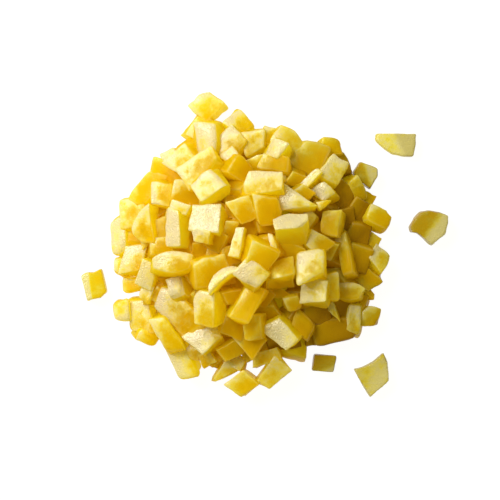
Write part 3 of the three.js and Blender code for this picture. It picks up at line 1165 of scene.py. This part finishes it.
# %% The way up the side
RISE = [
    # share of the outline, share of the height
    (0.5, 0.0),
    (0.93, 0.0),
    (0.985, 0.04),
    (1.0, 0.12),
    (0.997, 0.3),
    (0.99, 0.5),
    (0.98, 0.7),
    (0.965, 0.87),
    (0.955, 0.94),
    (0.93, 0.985),
]
RISE += [(share, 1.0) for share in (0.89, 0.8, 0.66, 0.52, 0.38, 0.24, 0.1)]


def ring_faces(around):
    """The faces of a closed stack of rings: a fan, bands of four-cornered faces, and a fan."""
    faces = [[0, 1 + (i + 1) % around, 1 + i] for i in range(around)]
    for ring in range(len(RISE) - 1):
        low, high = 1 + ring * around, 1 + (ring + 1) * around
        for i in range(around):
            step = (i + 1) % around
            faces.append([low + i, low + step, high + step, high + i])
    last, top = 1 + (len(RISE) - 1) * around, 1 + len(RISE) * around
    faces += [[last + i, last + (i + 1) % around, top] for i in range(around)]
    return faces


print("rings up a stray:", len(RISE))

# %% Raise a die from its outline
SIDE_RIPPLES = 12  # the smaller, the further the waves move the side in and out
TOP_RIPPLES = 0.2
CALM_FOOT = 8  # the waves are complete at an eighth of the height
TOP_STARTS = 0.97  # shares of the height
RIM_FROM = 0.9
DUSKY_SIDE = 1.2  # how much duskier a stray's side is than its top
STRAY_HEART = 0.3


def stray_surface(place, height, corners, riper_to, change, ripeness, dusk, fall):
    outline = worn_outline(corners)
    around = len(outline)
    centre = outline.mean(axis=0)
    rings = []
    for share, rise in RISE:
        flat = centre + (outline - centre) * share
        rings.append(np.column_stack([flat, np.full(around, height * rise)]))
    shaped = np.concatenate([[[*centre, 0]], *rings, [[*centre, height]]])
    shares = np.concatenate([[0], np.repeat([share for share, _ in RISE], around), [0]])
    rises = np.concatenate([[0], np.repeat([rise for _, rise in RISE], around), [1]])
    relief = ripples(shaped, random_habit(rng)["waves"])
    pushed = (relief * np.minimum(rises * CALM_FOOT, 1) * shares)[:, None]
    shaped[:, :2] += pushed * (shaped[:, :2] - centre) / SIDE_RIPPLES
    along = (shaped[:, :2] - centre) @ np.array(towards(riper_to, 0))[:2]
    along = np.clip(along / np.abs(along).max(), -1, 1) / 2 + 0.5
    shaped[:, 2] += rises * (relief * TOP_RIPPLES - fall * along * height)
    changed = np.clip((along - change[0]) / (change[1] - change[0]), 0, 1)
    changed = changed * changed * (3 - 2 * changed)
    dusk_there = dusk[0] + (dusk[1] - dusk[0]) * changed
    return {
        "points": (shaped + np.array([*place, 0])) * MM,
        "faces": ring_faces(around),
        "flesh_place": shaped + rng.uniform(-FAR_AWAY, FAR_AWAY, 3),
        "ripeness": ripeness[0] + (ripeness[1] - ripeness[0]) * changed,
        # Partly painted light: the top is painted pale as a lit face and the side gold as a shaded one.
        "end_face": (rises > TOP_STARTS).astype(float),
        # Painted highlight along the top edge.
        "rim": np.clip(1 - np.abs(shares - 0.95) / 0.03, 0, 1) * (rises > RIM_FROM) * 0.5,
        "peel_side": np.zeros(len(shaped)),
        "dusk": dusk_there * np.where(rises > 0.95, 1, DUSKY_SIDE),
        "heart": np.full(len(shaped), STRAY_HEART),
    }


# %% Make a stray
def stray(node, **settings):
    """Place, height and corners are in millimetres, riper_to in degrees. Change says where along
    that way the flesh starts to change and where it has changed, ripeness and dusk what it is
    before and after, and fall by what share of its height the top falls."""
    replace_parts(join_surfaces(node + "_die", [stray_surface(**settings)]), node)


# %% Stray die: west
stray(
    "stray_west",
    place=(-69, -15),
    height=9,
    corners=[
        (-5.5, 3.5), (-3.4, 5.0), (0.5, 5.2), (3.6, 6.8), (6.2, -3.3), (3.3, -6.2), (-0.6, -6.7),
        (-2.5, -7.5),
    ],
    riper_to=8,
    change=(0.27, 0.4),
    ripeness=(-0.4, 1.0),
    dusk=(0.1, 0.36),
    fall=0.08,
)

# %% Stray die: half moon
stray(
    "stray_half_moon",
    place=(64, 46.5),
    height=8,
    corners=[
        (-9, 2.0), (-8.4, 4.8), (9.4, 4.8), (8.9, -0.5), (8, -5.2), (4, -5.3), (-1.5, -4.3),
        (-5.5, -1.2),
    ],
    riper_to=25,
    change=(0.4, 0.6),
    ripeness=(0.3, 0.0),
    dusk=(0.3, 0.68),
    fall=0.15,
)

# %% Stray die: north east
stray(
    "stray_north_east",
    place=(50.5, 33),
    height=9,
    corners=[
        (-5.4, 1), (-2.1, 5.9), (2, 4.4), (5.6, 2.8), (5.6, -0.8), (4.3, -2.6), (2.3, -6.3),
        (-3.4, -2),
    ],
    riper_to=200,
    change=(0.3, 0.6),
    ripeness=(0.2, 0.95),
    dusk=(0.65, 0.85),
    fall=0.1,
)

# %% Stray die: east
stray(
    "stray_east",
    place=(79, 10),
    height=10,
    corners=[
        (-5.6, -2.6), (-8.3, -2.2), (-9.0, 0.2), (-7.4, 3.2), (-4.4, 6.6), (0.2, 7.6), (4.0, 6.5),
        (8.6, 5.2), (7.3, -2.9), (0.9, -8.1),
    ],
    riper_to=145,
    change=(0.25, 0.6),
    ripeness=(-0.2, 0.95),
    dusk=(0.6, 0.95),
    fall=0.1,
)

# %% Stray die: south
stray(
    "stray_south",
    place=(32.5, -50),
    height=8,
    corners=[(-5.5, -3.2), (-4.3, 4.2), (5.6, 3.5), (4.4, -3.8)],
    riper_to=110,
    change=(0.05, 0.4),
    ripeness=(0.2, 1.0),
    dusk=(0.8, 0.95),
    fall=0.05,
)

# %% Stray die: south east
stray(
    "stray_south_east",
    place=(54.5, -55),
    height=8,
    corners=[
        (-8.8, 2.6), (-6.2, 3.0), (-0.5, 5.6), (4.2, 9.8), (6.2, 5.6), (6.6, 1.0), (6.6, -2.6),
        (2.0, -6.6), (-1.4, -10), (-4.4, -5.5),
    ],
    riper_to=135,
    change=(0.2, 0.6),
    ripeness=(0.1, 0.5),
    dusk=(0.55, 0.72),
    fall=0.05,
)

# %% [markdown]
# ## The room for the dice
# The dice have to keep to the room that the packed heap gives them.
